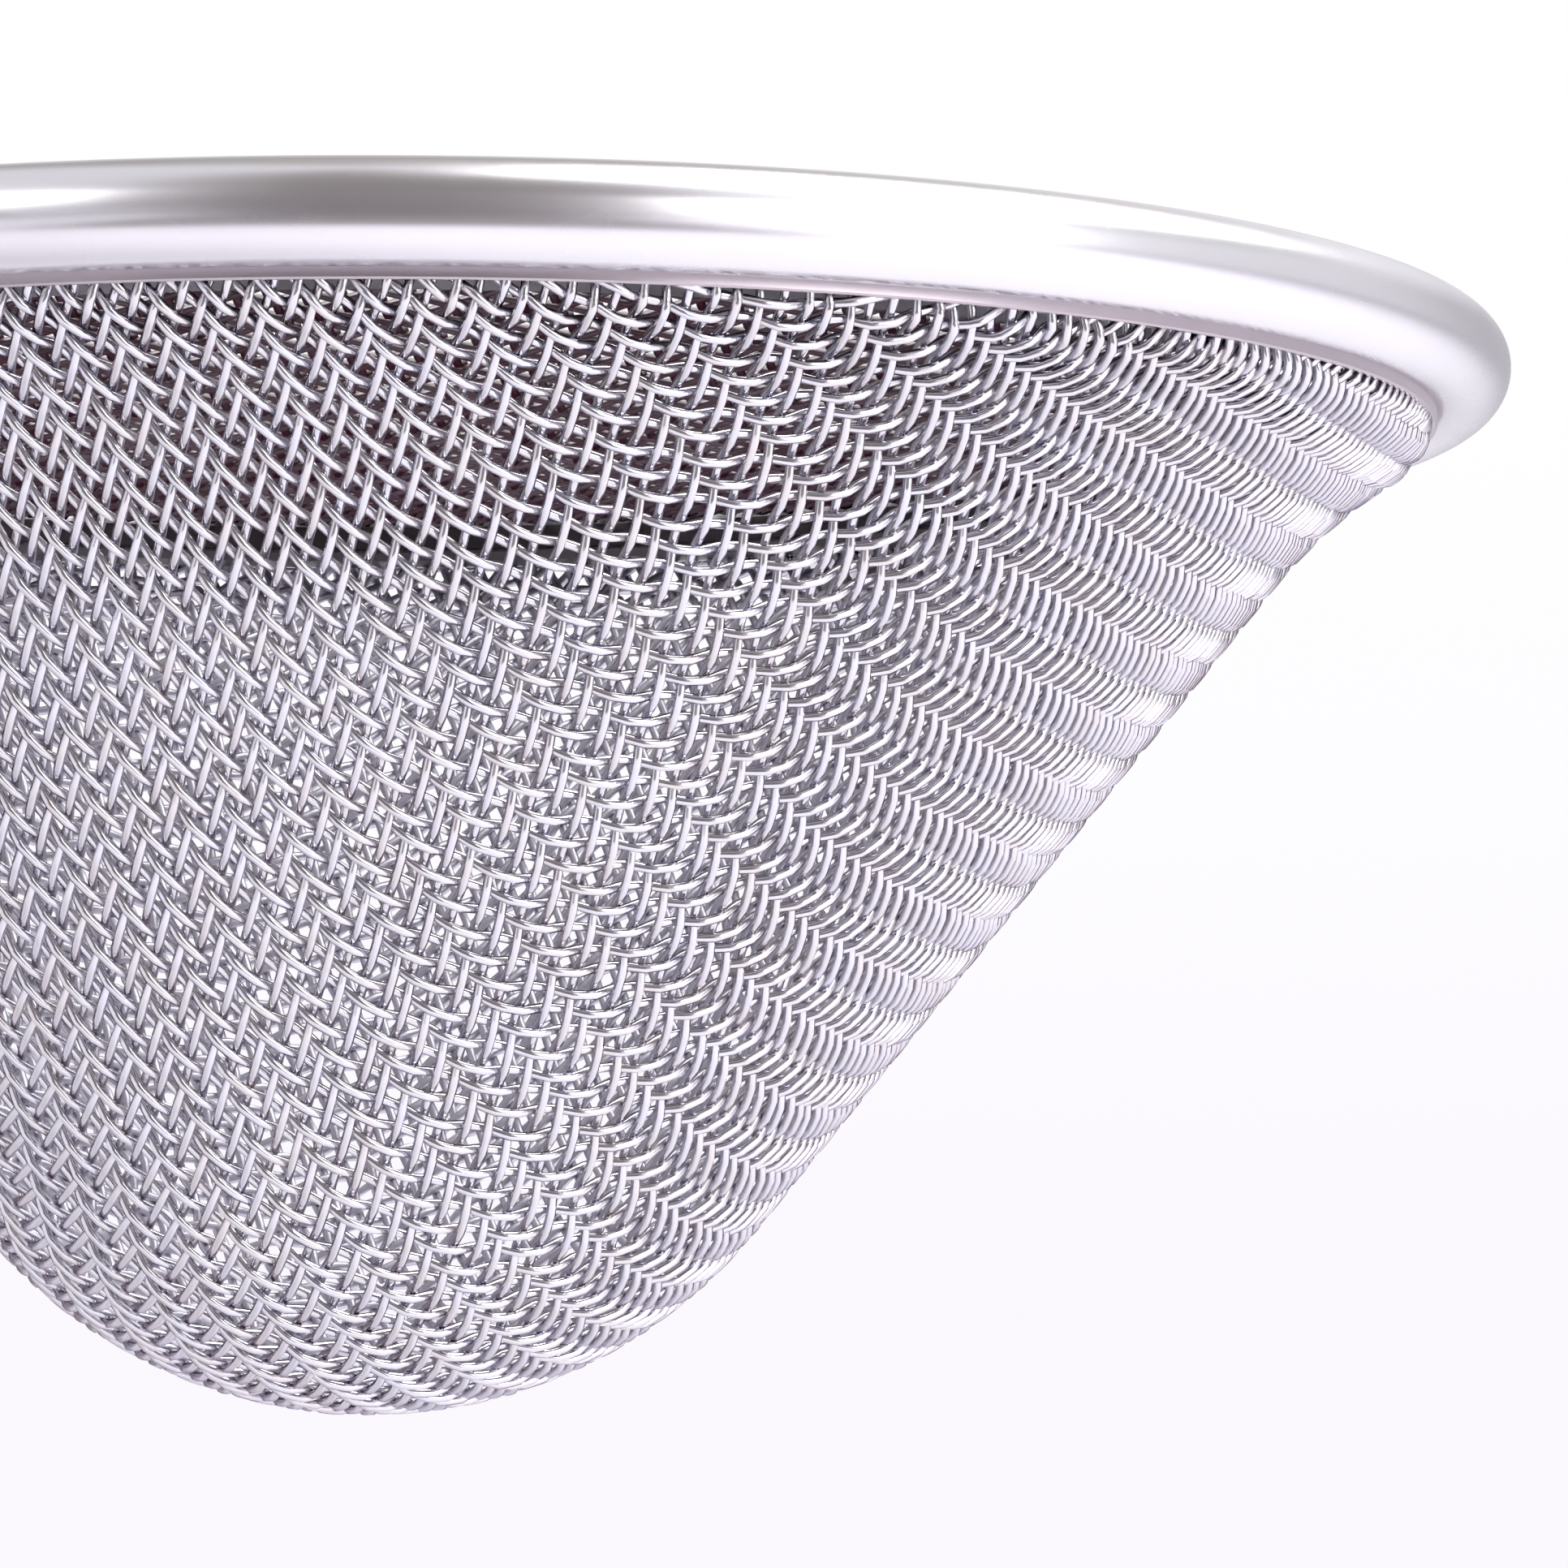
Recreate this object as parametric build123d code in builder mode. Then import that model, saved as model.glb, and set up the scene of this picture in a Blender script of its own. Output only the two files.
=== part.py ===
from build123d import *
from math import acos, atan2, cos, hypot, radians, sin, sqrt, tan
import os

# Double sieve strainer, millimetres, +Z up.
# The tip of the cone stands at the origin and the two telescopic arms run along X.

# ---- overall sizes ----
RIM_DIAMETER = 150.0
SIEVE_DEPTH = 70.5  # from the outside of the tip to the top of the rim
TIP_RADIUS = 32.0  # middle of the cloth

# ---- lower rim and its cloth ----
BEAD_DIAMETER = 6.4
STRIP_THICKNESS = 0.45
LIP_DROP = 0.5  # how far the lip hangs below the bead
FINE_CLOTH_THICKNESS = 0.65
FLARE_INSET = 2.5  # the cone's line meets the lip's level this far inside the cloth
FLARE_ANGLE = 60.0  # steepest inward lean of the cloth under the lip
LIP_BEND_RADIUS = 1.2
LIP_RELIEF = 0.2  # cloth hangs straight this far below the lip, and the inner leg stops as far above
CORE_GAP = 0.05  # between a core wire and what it lies in

# ---- ledge that carries the upper sieve ----
RING_THICKNESS = 0.6
LEDGE_WIDTH = 3.2

# ---- upper sieve ----
SIDE_GAP = 0.3
REST_GAP = 0.2
UPPER_BEAD_DIAMETER = 2.8
UPPER_STRIP_THICKNESS = 0.4
UPPER_STAND = 0.2  # how far the upper bead stands above the lower one
CURL_END_ANGLE = 285.0
COARSE_CLOTH_THICKNESS = 1.2
DISH_SAG = 3.7
DISH_CLEARANCE = 0.1  # between the curl and the cloth below it
CLAMP_THICKNESS = 0.5
LOOP_RADIUS = 7.0
LOOP_WIRE_DIAMETER = 2.4
LOOP_HEIGHT = 9.0  # above the upper bead, to the middle of the wire

# ---- arms, their sleeves and the plates that carry them ----
ARM_WIRE_DIAMETER = 4.0
ARM_SPACING = 19.0
ARM_BEND_RADIUS = 5.0
RUNNING_CLEARANCE = 0.05
STOP_WALL = 0.6
STOP_LENGTH = 4.0
SLEEVE_WALL = 0.65
SLEEVE_LENGTH = 30.0  # beyond the rim
MOUTH_LENGTH = 4.0
ARM_START = 3.0  # inner end of the arm beyond the rim
ARM_REACH = 7.5  # middle of the arm's end bar beyond its sleeves
SADDLE_THICKNESS = 1.0
SADDLE_WRAP = 55.0  # degrees of the bead's section, above and below its widest line
SADDLE_MARGIN = 1.0  # plate beyond the sleeves
STRAP_WIDTH = 8.0
STRAP_THICKNESS = 1.6
STRAP_INSET = 5.0  # from the sleeves' mouths
STRAP_GROOVE = 0.6  # how deep each sleeve lies in the strap
GRIP_WALL = 1.2

SIDES = {"left": -1, "right": 1}
ROWS = {"front": -1, "rear": 1}

# ---- lower sieve, worked out ----
rim_radius = RIM_DIAMETER / 2
bead_radius = BEAD_DIAMETER / 2
bead_centre = rim_radius - bead_radius
bead_z = SIEVE_DEPTH - bead_radius
leg_in = bead_centre - bead_radius
leg_out = leg_in + STRIP_THICKNESS
cloth_out = leg_out + FINE_CLOTH_THICKNESS
cloth_mid = (leg_out + cloth_out) / 2
lip_out = cloth_out + STRIP_THICKNESS
lip_z = SIEVE_DEPTH - BEAD_DIAMETER - LIP_DROP
leg_z = lip_z + LIP_RELIEF
bead_inner_radius = bead_radius - STRIP_THICKNESS
crease_z = bead_z - sqrt(bead_radius**2 - (bead_centre - lip_out) ** 2)
inner_crease_z = bead_z - sqrt(bead_inner_radius**2 - (bead_centre - cloth_out) ** 2)
core_in = cloth_out + CORE_GAP
core_out = rim_radius - STRIP_THICKNESS - CORE_GAP

# ---- upper sieve, worked out ----
ring_in = leg_in - RING_THICKNESS
ledge_z = leg_z + RING_THICKNESS
upper_radius = ring_in - SIDE_GAP
upper_bead_radius = UPPER_BEAD_DIAMETER / 2
upper_bead_centre = upper_radius - upper_bead_radius
upper_bead_z = SIEVE_DEPTH + UPPER_STAND - upper_bead_radius
skirt_in = upper_radius - UPPER_STRIP_THICKNESS
skirt_z = ledge_z + REST_GAP
dish_edge_z = upper_bead_z - upper_bead_radius - DISH_CLEARANCE
dish_bottom_z = dish_edge_z - DISH_SAG
margin_in = skirt_in - COARSE_CLOTH_THICKNESS
margin_z = skirt_z + LIP_RELIEF

# ---- arms, worked out ----
wire_radius = ARM_WIRE_DIAMETER / 2
stop_radius = wire_radius + STOP_WALL
sleeve_bore = stop_radius + RUNNING_CLEARANCE
sleeve_radius = sleeve_bore + SLEEVE_WALL
mouth_bore = wire_radius + RUNNING_CLEARANCE
sleeve_end = rim_radius + SLEEVE_LENGTH
saddle_radius = bead_radius + SADDLE_THICKNESS
arm_start = rim_radius + ARM_START
arm_end = sleeve_end + ARM_REACH
row_offset = ARM_SPACING / 2
saddle_half_angle = (row_offset + sleeve_radius + SADDLE_MARGIN) / rim_radius * 180 / 3.14159265
strap_centre = sleeve_end - STRAP_INSET - STRAP_WIDTH / 2
strap_top = bead_z - sleeve_radius + STRAP_GROOVE
strap_length = ARM_SPACING + 2 * sleeve_radius


def outward(angle, radius):
    """Offset along the cloth's outward normal where it leans in by angle from straight down."""
    return Vector(radius * cos(radians(angle)), -radius * sin(radians(angle)))


def cloth_side(offset):
    """One face of the fine cloth, from its margin in the rim to the tip, offset from its middle."""
    tip = Vector(0, TIP_RADIUS + FINE_CLOTH_THICKNESS / 2)
    top = Vector(cloth_mid, bead_z)
    hang = Vector(cloth_mid, lip_z - LIP_RELIEF)
    foot = Vector(cloth_mid - FLARE_INSET, lip_z)
    reach = foot - tip
    lean = acos(TIP_RADIUS / hypot(reach.X, reach.Y)) - atan2(reach.Y, reach.X)
    slope = tan(lean)
    lean_deg = lean * 180 / 3.14159265
    bend_centre = hang - outward(0, LIP_BEND_RADIUS)
    bend_end = bend_centre + outward(FLARE_ANGLE, LIP_BEND_RADIUS)
    surplus = bend_end.X - (foot.X - (foot.Y - bend_end.Y) * slope)
    turn = cos(lean) - cos(radians(FLARE_ANGLE))
    drop = sin(radians(FLARE_ANGLE)) - sin(lean)
    flare_radius = surplus / (turn - slope * drop)
    flare_centre = bend_end + outward(FLARE_ANGLE, flare_radius)
    middle_bend = FLARE_ANGLE / 2
    middle_flare = (FLARE_ANGLE + lean_deg) / 2
    middle_tip = (lean_deg + 90) / 2
    bend = LIP_BEND_RADIUS + offset
    flare = flare_radius - offset
    ball = TIP_RADIUS + offset
    straight = Line(top + outward(0, offset), hang + outward(0, offset))
    turn_in = ThreePointArc(
        straight @ 1, bend_centre + outward(middle_bend, bend), bend_centre + outward(FLARE_ANGLE, bend)
    )
    ease = ThreePointArc(
        turn_in @ 1,
        flare_centre - outward(middle_flare, flare),
        flare_centre - outward(lean_deg, flare),
    )
    cone = Line(ease @ 1, tip + outward(lean_deg, ball))
    cap = ThreePointArc(cone @ 1, tip + outward(middle_tip, ball), tip + outward(90, ball))
    return straight @ 0, cap @ 1


def dish_side(edge_radius, edge_z, centre_z):
    """One face of the shallow dish, from the axis to its edge."""
    rise = edge_z - centre_z
    ball = (edge_radius**2 + rise**2) / (2 * rise)
    half = edge_radius / 2
    middle = centre_z + ball - sqrt(ball**2 - half**2)
    ThreePointArc((0, centre_z), (half, middle), (edge_radius, edge_z))


def radial_plane(angle):
    """Upright plane through the axis, its X pointing outwards at angle from +X."""
    a = radians(angle)
    return Plane(origin=(0, 0, 0), x_dir=(cos(a), sin(a), 0), z_dir=(sin(a), -cos(a), 0))


def write(piece, name):
    """Label a finished piece and write its STEP file."""
    piece.part.label = name
    export_step(piece.part, f"parts/{name}.step")


os.makedirs("parts", exist_ok=True)

# ---- lower rim: one strip, curled into a bead, its two edges gripping the cloth ----
with BuildPart() as lower_rim:
    with BuildSketch(Plane.XZ):
        with BuildLine():
            Polyline((lip_out, crease_z), (lip_out, lip_z), (cloth_out, lip_z), (cloth_out, inner_crease_z))
            ThreePointArc(
                (cloth_out, inner_crease_z), (bead_centre + bead_inner_radius, bead_z), (leg_out, bead_z)
            )
            Polyline((leg_out, bead_z), (leg_out, leg_z), (leg_in, leg_z), (leg_in, bead_z))
            ThreePointArc((leg_in, bead_z), (rim_radius, bead_z), (lip_out, crease_z))
        make_face()
    revolve(axis=Axis.Z)
write(lower_rim, "lower_rim")

with BuildPart() as lower_rim_wire:
    with BuildSketch(Plane.XZ):
        with Locations(((core_in + core_out) / 2, bead_z)):
            Circle((core_out - core_in) / 2)
    revolve(axis=Axis.Z)
write(lower_rim_wire, "lower_rim_wire")

# ---- fine cloth: cone with a round tip, its edge standing up inside the rim ----
with BuildPart() as fine_mesh:
    with BuildSketch(Plane.XZ):
        with BuildLine():
            outer_top, outer_tip = cloth_side(FINE_CLOTH_THICKNESS / 2)
            inner_top, inner_tip = cloth_side(-FINE_CLOTH_THICKNESS / 2)
            Line(outer_top, inner_top)
            Line(outer_tip, inner_tip)
        make_face()
    revolve(axis=Axis.Z)
write(fine_mesh, "fine_mesh")

# ---- support ring: angle ring inside the rim whose ledge carries the upper sieve ----
with BuildPart() as support_ring:
    with BuildSketch(Plane.XZ):
        with BuildLine():
            Polyline(
                (leg_in, bead_z),
                (leg_in, leg_z),
                (ring_in - LEDGE_WIDTH, leg_z),
                (ring_in - LEDGE_WIDTH, ledge_z),
                (ring_in, ledge_z),
                (ring_in, bead_z),
                close=True,
            )
        make_face()
    revolve(axis=Axis.Z)
write(support_ring, "support_ring")

# ---- upper rim: skirt whose top edge is curled inwards over a core wire ----
curl = radians(CURL_END_ANGLE)
curl_core = upper_bead_radius - UPPER_STRIP_THICKNESS
with BuildPart() as upper_rim:
    with BuildSketch(Plane.XZ):
        with BuildLine():
            outer_end = (
                upper_bead_centre + upper_bead_radius * cos(curl),
                upper_bead_z + upper_bead_radius * sin(curl),
            )
            inner_end = (upper_bead_centre + curl_core * cos(curl), upper_bead_z + curl_core * sin(curl))
            ThreePointArc(
                (upper_radius, upper_bead_z),
                (upper_bead_centre, upper_bead_z + upper_bead_radius),
                outer_end,
            )
            Line(outer_end, inner_end)
            ThreePointArc(inner_end, (upper_bead_centre, upper_bead_z + curl_core), (skirt_in, upper_bead_z))
            Polyline(
                (skirt_in, upper_bead_z),
                (skirt_in, skirt_z),
                (upper_radius, skirt_z),
                (upper_radius, upper_bead_z),
            )
        make_face()
    revolve(axis=Axis.Z)
write(upper_rim, "upper_rim")

with BuildPart() as upper_rim_wire:
    Torus(upper_bead_centre, curl_core - CORE_GAP)
upper_rim_wire.part.locate(Location((0, 0, upper_bead_z)))
write(upper_rim_wire, "upper_rim_wire")

# ---- coarse cloth: shallow dish with a turned-down margin against the skirt ----
with BuildPart() as coarse_mesh:
    with BuildSketch(Plane.XZ):
        with BuildLine():
            under_edge_z = dish_edge_z - COARSE_CLOTH_THICKNESS
            under_centre_z = dish_bottom_z - COARSE_CLOTH_THICKNESS
            dish_side(skirt_in, dish_edge_z, dish_bottom_z)
            Polyline(
                (skirt_in, dish_edge_z), (skirt_in, margin_z), (margin_in, margin_z), (margin_in, under_edge_z)
            )
            dish_side(margin_in, under_edge_z, under_centre_z)
            Line((0, under_centre_z), (0, dish_bottom_z))
        make_face()
    revolve(axis=Axis.Z)
write(coarse_mesh, "coarse_mesh")

with BuildPart() as upper_clamp_ring:
    with BuildSketch(Plane.XZ):
        with BuildLine():
            Polyline(
                (margin_in, margin_z),
                (margin_in, under_edge_z - DISH_CLEARANCE),
                (margin_in - CLAMP_THICKNESS, under_edge_z - 2 * DISH_CLEARANCE),
                (margin_in - CLAMP_THICKNESS, margin_z),
                close=True,
            )
        make_face()
    revolve(axis=Axis.Z)
write(upper_clamp_ring, "upper_clamp_ring")

# ---- lift loops: upright half rings whose feet are welded to the upper bead ----
loop_x = sqrt(upper_bead_centre**2 - LOOP_RADIUS**2)
loop_top = upper_bead_z + upper_bead_radius + LOOP_HEIGHT
for side, sign in SIDES.items():
    with BuildPart() as lift_loop:
        with BuildLine(Plane(origin=(sign * loop_x, 0, 0), x_dir=(0, 1, 0), z_dir=(1, 0, 0))) as loop_path:
            rise = Line((-LOOP_RADIUS, upper_bead_z), (-LOOP_RADIUS, loop_top - LOOP_RADIUS))
            over = ThreePointArc(rise @ 1, (0, loop_top), (LOOP_RADIUS, loop_top - LOOP_RADIUS))
            Line(over @ 1, (LOOP_RADIUS, upper_bead_z))
        with BuildSketch(Plane(origin=loop_path.line @ 0, z_dir=loop_path.line % 0)):
            Circle(LOOP_WIRE_DIAMETER / 2)
        sweep()
        with Locations((0, 0, upper_bead_z)):
            Torus(upper_bead_centre, upper_bead_radius, mode=Mode.SUBTRACT)
        split(bisect_by=Plane.XY.offset(upper_bead_z + upper_bead_radius / 2), keep=Keep.TOP)
    write(lift_loop, f"{side}_lift_loop")

# ---- one arm mount and one arm on each side ----
for side, sign in SIDES.items():
    heading = 0 if sign > 0 else 180

    with BuildPart() as saddle:
        with BuildSketch(radial_plane(heading - saddle_half_angle)):
            with BuildLine():
                hug = CenterArc((bead_centre, bead_z), bead_radius, -SADDLE_WRAP, 2 * SADDLE_WRAP)
                back = CenterArc((bead_centre, bead_z), saddle_radius, -SADDLE_WRAP, 2 * SADDLE_WRAP)
                Line(hug @ 0, back @ 0)
                Line(hug @ 1, back @ 1)
            make_face()
        revolve(axis=Axis.Z, revolution_arc=2 * saddle_half_angle)
    write(saddle, f"{side}_saddle")

    for row, hand in ROWS.items():
        with BuildPart() as sleeve:
            with BuildSketch(Plane.YZ.offset(sign * bead_centre)):
                with Locations((hand * row_offset, bead_z)):
                    Circle(sleeve_radius)
            extrude(amount=sign * (sleeve_end - bead_centre))
            with BuildSketch(Plane.YZ.offset(sign * bead_centre)):
                with Locations((hand * row_offset, bead_z)):
                    Circle(sleeve_bore)
            extrude(amount=sign * (sleeve_end - MOUTH_LENGTH - bead_centre), mode=Mode.SUBTRACT)
            with BuildSketch(Plane.YZ.offset(sign * bead_centre)):
                with Locations((hand * row_offset, bead_z)):
                    Circle(mouth_bore)
            extrude(amount=sign * (sleeve_end - bead_centre), mode=Mode.SUBTRACT)
            with Locations((0, 0, bead_z)):
                Torus(bead_centre, saddle_radius, mode=Mode.SUBTRACT)
        write(sleeve, f"{side}_{row}_sleeve")

    with BuildPart() as strap:
        with BuildSketch(Plane.XY.offset(strap_top - STRAP_THICKNESS)):
            with Locations((sign * strap_centre, 0)):
                RectangleRounded(STRAP_WIDTH, strap_length, STRAP_WIDTH / 4)
        extrude(amount=STRAP_THICKNESS)
        with BuildSketch(Plane.YZ.offset(sign * (strap_centre - STRAP_WIDTH))):
            with Locations((-row_offset, bead_z), (row_offset, bead_z)):
                Circle(sleeve_radius)
        extrude(amount=sign * 2 * STRAP_WIDTH, mode=Mode.SUBTRACT)
    write(strap, f"{side}_rest_strap")

    with BuildPart() as arm:
        with BuildLine(Plane.XY.offset(bead_z)) as arm_path:
            FilletPolyline(
                (sign * arm_start, -row_offset),
                (sign * arm_end, -row_offset),
                (sign * arm_end, row_offset),
                (sign * arm_start, row_offset),
                radius=ARM_BEND_RADIUS,
            )
        with BuildSketch(Plane(origin=arm_path.line @ 0, z_dir=arm_path.line % 0)):
            Circle(wire_radius)
        sweep()
    write(arm, f"{side}_arm")

    with BuildPart() as stops:
        with BuildSketch(Plane.YZ.offset(sign * arm_start)):
            with Locations((-row_offset, bead_z), (row_offset, bead_z)):
                Circle(stop_radius)
                Circle(wire_radius, mode=Mode.SUBTRACT)
        extrude(amount=sign * STOP_LENGTH)
    write(stops, f"{side}_arm_stops")

    with BuildPart() as grip:
        grip_length = ARM_SPACING - 2 * ARM_BEND_RADIUS
        with BuildSketch(Plane.XZ.offset(-grip_length / 2)):
            with Locations((sign * arm_end, bead_z)):
                Circle(wire_radius + GRIP_WALL)
                Circle(wire_radius, mode=Mode.SUBTRACT)
        extrude(amount=grip_length)
    write(grip, f"{side}_arm_grip")
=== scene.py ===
import logging
import math
import random
from dataclasses import dataclass, field
from enum import Enum

import bmesh
import bpy
from mathutils import Matrix, Vector


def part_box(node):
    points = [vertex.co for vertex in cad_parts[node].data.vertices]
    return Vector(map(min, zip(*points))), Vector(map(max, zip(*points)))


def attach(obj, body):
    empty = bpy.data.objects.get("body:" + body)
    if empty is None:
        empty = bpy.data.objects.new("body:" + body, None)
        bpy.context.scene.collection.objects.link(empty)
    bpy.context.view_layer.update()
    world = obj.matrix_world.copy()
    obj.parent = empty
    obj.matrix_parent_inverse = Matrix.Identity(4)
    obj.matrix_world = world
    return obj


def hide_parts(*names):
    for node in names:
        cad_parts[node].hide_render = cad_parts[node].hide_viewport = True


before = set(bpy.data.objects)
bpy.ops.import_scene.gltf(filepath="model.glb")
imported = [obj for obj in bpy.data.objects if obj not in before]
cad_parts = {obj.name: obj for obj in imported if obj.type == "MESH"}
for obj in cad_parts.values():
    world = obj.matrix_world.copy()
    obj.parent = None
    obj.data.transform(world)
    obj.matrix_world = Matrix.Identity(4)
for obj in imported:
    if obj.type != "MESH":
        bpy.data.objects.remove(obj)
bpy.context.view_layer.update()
LOG = logging.getLogger("strainer")
MM = 0.001
BUMP_HEIGHT = 0.1 * MM
MERGE_DISTANCE = 0.0001 * MM
SHARP_ANGLE = math.radians(35)
SHORTEST_WIRE = 4  # points; a shorter bit of wire at a cloth's edge is left out


class Family(Enum):
    """The two families of wires in a woven cloth."""

    WARP = "warp"
    WEFT = "weft"


class Weave(Enum):
    """How the wires of a cloth cross: crossings to one full wave of a wire."""

    PLAIN = 2
    TWILL = 4


# ---------------------------------------------------------------- shader groups


def new_group(name: str, inputs: dict, outputs: dict) -> bpy.types.NodeTree:
    """Start a shader node group with named sockets.

    Args:
        name: the group's name.
        inputs: socket name to default value; a number makes a float socket, a triple a colour.
        outputs: socket name to socket type.

    Returns:
        The group, holding only its input and output nodes.
    """
    group = bpy.data.node_groups.new(name, "ShaderNodeTree")
    for label, value in inputs.items():
        kind = "NodeSocketFloat" if isinstance(value, (int, float)) else "NodeSocketColor"
        socket = group.interface.new_socket(label, in_out="INPUT", socket_type=kind)
        socket.default_value = value if kind == "NodeSocketFloat" else (*value, 1.0)
    for label, kind in outputs.items():
        group.interface.new_socket(label, in_out="OUTPUT", socket_type=kind)
    group.nodes.new("NodeGroupInput").name = "in"
    group.nodes.new("NodeGroupOutput").name = "out"
    return group


def add_node(tree: bpy.types.NodeTree, kind: str, values: dict | None = None, **props) -> bpy.types.Node:
    """Add a node, set its properties and its input values.

    Args:
        tree: the tree that gets the node.
        kind: the node's type name.
        values: input name to value.
        **props: node properties to set.

    Returns:
        The new node.
    """
    node = tree.nodes.new(kind)
    for key, value in props.items():
        setattr(node, key, value)
    for key, value in (values or {}).items():
        node.inputs[key].default_value = value
    return node


def mottle_group() -> bpy.types.NodeTree:
    """Build the group that drifts a colour and a roughness over a surface.

    Returns:
        A group with a soft patchy mix of two tints and a roughness that follows it.
    """
    group = new_group(
        "tint drift",
        {"Tint": (0.8, 0.8, 0.8), "Other tint": (0.7, 0.7, 0.7), "Scale": 60.0, "Share": 0.4,
         "Roughness": 0.2, "Roughness drift": 0.1},
        {"Color": "NodeSocketColor", "Roughness": "NodeSocketFloat"},
    )
    link = group.links.new
    source, sink = group.nodes["in"], group.nodes["out"]
    spot = add_node(group, "ShaderNodeTexCoord")
    cloud = add_node(group, "ShaderNodeTexNoise", {"Detail": 4.0, "Roughness": 0.6})
    spread = add_node(group, "ShaderNodeMapRange", {"From Min": 0.35, "From Max": 0.65})
    share = add_node(group, "ShaderNodeMath", operation="MULTIPLY")
    mix = add_node(group, "ShaderNodeMix", data_type="RGBA")
    rough = add_node(group, "ShaderNodeMath", operation="MULTIPLY_ADD")
    link(spot.outputs["Object"], cloud.inputs["Vector"])
    link(source.outputs["Scale"], cloud.inputs["Scale"])
    link(cloud.outputs["Fac"], spread.inputs["Value"])
    link(spread.outputs["Result"], share.inputs[0])
    link(source.outputs["Share"], share.inputs[1])
    link(share.outputs[0], mix.inputs["Factor"])
    link(source.outputs["Tint"], mix.inputs["A"])
    link(source.outputs["Other tint"], mix.inputs["B"])
    link(mix.outputs["Result"], sink.inputs["Color"])
    link(spread.outputs["Result"], rough.inputs[0])
    link(source.outputs["Roughness drift"], rough.inputs[1])
    link(source.outputs["Roughness"], rough.inputs[2])
    link(rough.outputs[0], sink.inputs["Roughness"])
    return group


def grain_group() -> bpy.types.NodeTree:
    """Build the group that gives fine drawn or rolled lines as a height.

    Returns:
        A group whose height runs in streaks along the axis that its stretch shrinks.
    """
    group = new_group(
        "rolled grain",
        {"Scale": 900.0, "Across": 1.0, "Along": 0.05, "Up": 1.0, "Depth": 1.0},
        {"Height": "NodeSocketFloat"},
    )
    link = group.links.new
    source, sink = group.nodes["in"], group.nodes["out"]
    spot = add_node(group, "ShaderNodeTexCoord")
    stretch = add_node(group, "ShaderNodeCombineXYZ")
    scaled = add_node(group, "ShaderNodeVectorMath", operation="MULTIPLY")
    streaks = add_node(group, "ShaderNodeTexNoise", {"Detail": 3.0})
    depth = add_node(group, "ShaderNodeMath", operation="MULTIPLY")
    link(source.outputs["Across"], stretch.inputs["X"])
    link(source.outputs["Along"], stretch.inputs["Y"])
    link(source.outputs["Up"], stretch.inputs["Z"])
    link(spot.outputs["Object"], scaled.inputs[0])
    link(stretch.outputs["Vector"], scaled.inputs[1])
    link(scaled.outputs["Vector"], streaks.inputs["Vector"])
    link(source.outputs["Scale"], streaks.inputs["Scale"])
    link(streaks.outputs["Fac"], depth.inputs[0])
    link(source.outputs["Depth"], depth.inputs[1])
    link(depth.outputs[0], sink.inputs["Height"])
    return group


def underside_shade_group() -> bpy.types.NodeTree:
    """Build the group that paints shade onto a surface's underside.

    Returns:
        A group that lays a painted shade colour over a steel colour where the surface faces down.
    """
    group = new_group(
        "painted underside shade",
        {"Color": (0.6, 0.6, 0.6), "Shade colour": (0.1, 0.07, 0.08), "Cover": 1.0, "Scale": 120.0},
        {"Color": "NodeSocketColor"},
    )
    link = group.links.new
    source, sink = group.nodes["in"], group.nodes["out"]
    spot = add_node(group, "ShaderNodeTexCoord")
    facing = add_node(group, "ShaderNodeSeparateXYZ")
    under = add_node(group, "ShaderNodeMapRange",
                     {"From Min": 0.35, "From Max": -0.25}, interpolation_type="SMOOTHSTEP")
    cloud = add_node(group, "ShaderNodeTexNoise", {"Detail": 3.0})
    patch = add_node(group, "ShaderNodeMapRange", {"From Min": 0.3, "From Max": 0.6, "To Min": 0.8})
    spread = add_node(group, "ShaderNodeMath", operation="MULTIPLY")
    cover = add_node(group, "ShaderNodeMath", operation="MULTIPLY")
    mix = add_node(group, "ShaderNodeMix", data_type="RGBA")
    link(spot.outputs["Normal"], facing.inputs["Vector"])
    link(facing.outputs["Z"], under.inputs["Value"])
    link(spot.outputs["Object"], cloud.inputs["Vector"])
    link(source.outputs["Scale"], cloud.inputs["Scale"])
    link(cloud.outputs["Fac"], patch.inputs["Value"])
    link(under.outputs["Result"], spread.inputs[0])
    link(patch.outputs["Result"], spread.inputs[1])
    link(spread.outputs[0], cover.inputs[0])
    link(source.outputs["Cover"], cover.inputs[1])
    link(cover.outputs[0], mix.inputs["Factor"])
    link(source.outputs["Color"], mix.inputs["A"])
    link(source.outputs["Shade colour"], mix.inputs["B"])
    link(mix.outputs["Result"], sink.inputs["Color"])
    return group


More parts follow.
